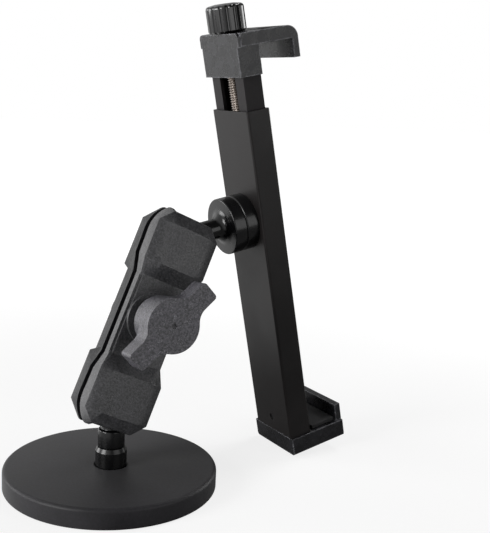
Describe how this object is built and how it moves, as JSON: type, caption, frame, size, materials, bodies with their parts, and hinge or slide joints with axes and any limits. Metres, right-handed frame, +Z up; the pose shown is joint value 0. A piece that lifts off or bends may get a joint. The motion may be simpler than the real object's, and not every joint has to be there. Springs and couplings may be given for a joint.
{
  "type": "tablet clamp stand",
  "caption": "Round magnetic base with a double-socket ball arm and wing knob that carries a screw-driven two-jaw tablet clamp.",
  "frame": {"origin": "centre of the underside of the round base", "axes": "+Z up, -Y towards the person who looks at the tablet, the arm's wing knob on the -X side"},
  "size_m": [0.088, 0.1582, 0.1995],
  "materials": {
    "jacket_rubber": "matt black rubber with a soft sheen",
    "filled_nylon": "grainy glass-filled nylon, dark grey",
    "gloss_black_steel": "gloss black coating",
    "plated_steel": "zinc-plated steel",
    "brass": "turned brass",
    "satin_black_tube": "satin black anodised",
    "satin_black_plastic": "satin black plastic",
    "slider_plastic": "satin dark grey plastic",
    "knob_plastic": "glossy black plastic",
    "pad_rubber": "ribbed black rubber"
  },
  "bodies": {
    "base": {"base_jacket": "jacket_rubber", "base_steel_disc": "plated_steel", "base_magnets": "plated_steel", "base_bush": "gloss_black_steel"},
    "lower_stud": {"lower_ball_stud": "gloss_black_steel"},
    "arm_rear": {"arm_half_rear": "filled_nylon", "clamp_bolt": "plated_steel", "arm_spring": "plated_steel"},
    "arm_front": {"arm_half_front": "filled_nylon", "knob_washer": "plated_steel"},
    "wing_knob": {"wing_knob": "filled_nylon", "knob_insert": "brass"},
    "upper_stud": {"upper_ball_stud": "gloss_black_steel", "stud_retaining_ring": "plated_steel"},
    "clamp_frame": {"swivel_collar": "gloss_black_steel", "collar_screws": "plated_steel", "spine_tube": "satin_black_tube", "spine_pad": "pad_rubber", "screw_nut": "brass", "lower_jaw": "satin_black_plastic", "lower_jaw_pad": "pad_rubber", "lower_jaw_screw": "gloss_black_steel"},
    "upper_jaw": {"inner_slider": "slider_plastic", "upper_jaw": "satin_black_plastic", "upper_jaw_pad": "pad_rubber", "jaw_screws": "plated_steel", "thrust_washer": "plated_steel"},
    "lead_screw": {"lead_screw": "plated_steel", "screw_clip": "plated_steel", "top_knob": "knob_plastic"}
  },
  "joints": [
    {"name": "stud_turn", "type": "hinge", "parent": "base", "child": "lower_stud", "pos_m": [0, 0, 0.0165], "axis": [0, 0, 1], "continuous": true},
    {"name": "arm_tilt", "type": "hinge", "parent": "lower_stud", "child": "arm_rear", "pos_m": [0, 0, 0.03515], "axis": [-0.9911, 0.0648, 0.116], "range_deg": [0, 24]},
    {"name": "front_half_slide", "type": "slide", "parent": "arm_rear", "child": "arm_front", "axis": [-0.9911, 0.0648, 0.116], "range_m": [0, 0.0015]},
    {"name": "wing_knob_turn", "type": "hinge", "parent": "arm_front", "child": "wing_knob", "pos_m": [0.00295, -0.01551, 0.06905], "axis": [-0.9911, 0.0648, 0.116], "range_deg": [0, 540]},
    {"name": "clamp_tilt", "type": "hinge", "parent": "arm_rear", "child": "upper_stud", "pos_m": [0.00572, -0.03003, 0.10078], "axis": [-0.9911, 0.0648, 0.116], "range_deg": [0, 45]},
    {"name": "clamp_spin", "type": "hinge", "parent": "upper_stud", "child": "clamp_frame", "pos_m": [0.00572, -0.05751, 0.10668], "axis": [0, -0.9777, 0.2101], "continuous": true},
    {"name": "jaw_slide", "type": "slide", "parent": "clamp_frame", "child": "upper_jaw", "axis": [0, 0.2101, 0.9777], "range_m": [-0.013, 0.046]},
    {"name": "lead_screw_turn", "type": "hinge", "parent": "upper_jaw", "child": "lead_screw", "pos_m": [0.00572, -0.05516, 0.16755], "axis": [0, 0.2101, 0.9777], "range_deg": [-4680, 16560]}
  ],
  "couplings": [
    {"joint": "wing_knob_turn", "follows": "front_half_slide", "rad_per_m": 6283.2},
    {"joint": "lead_screw_turn", "follows": "jaw_slide", "rad_per_m": 6283.2}
  ]
}
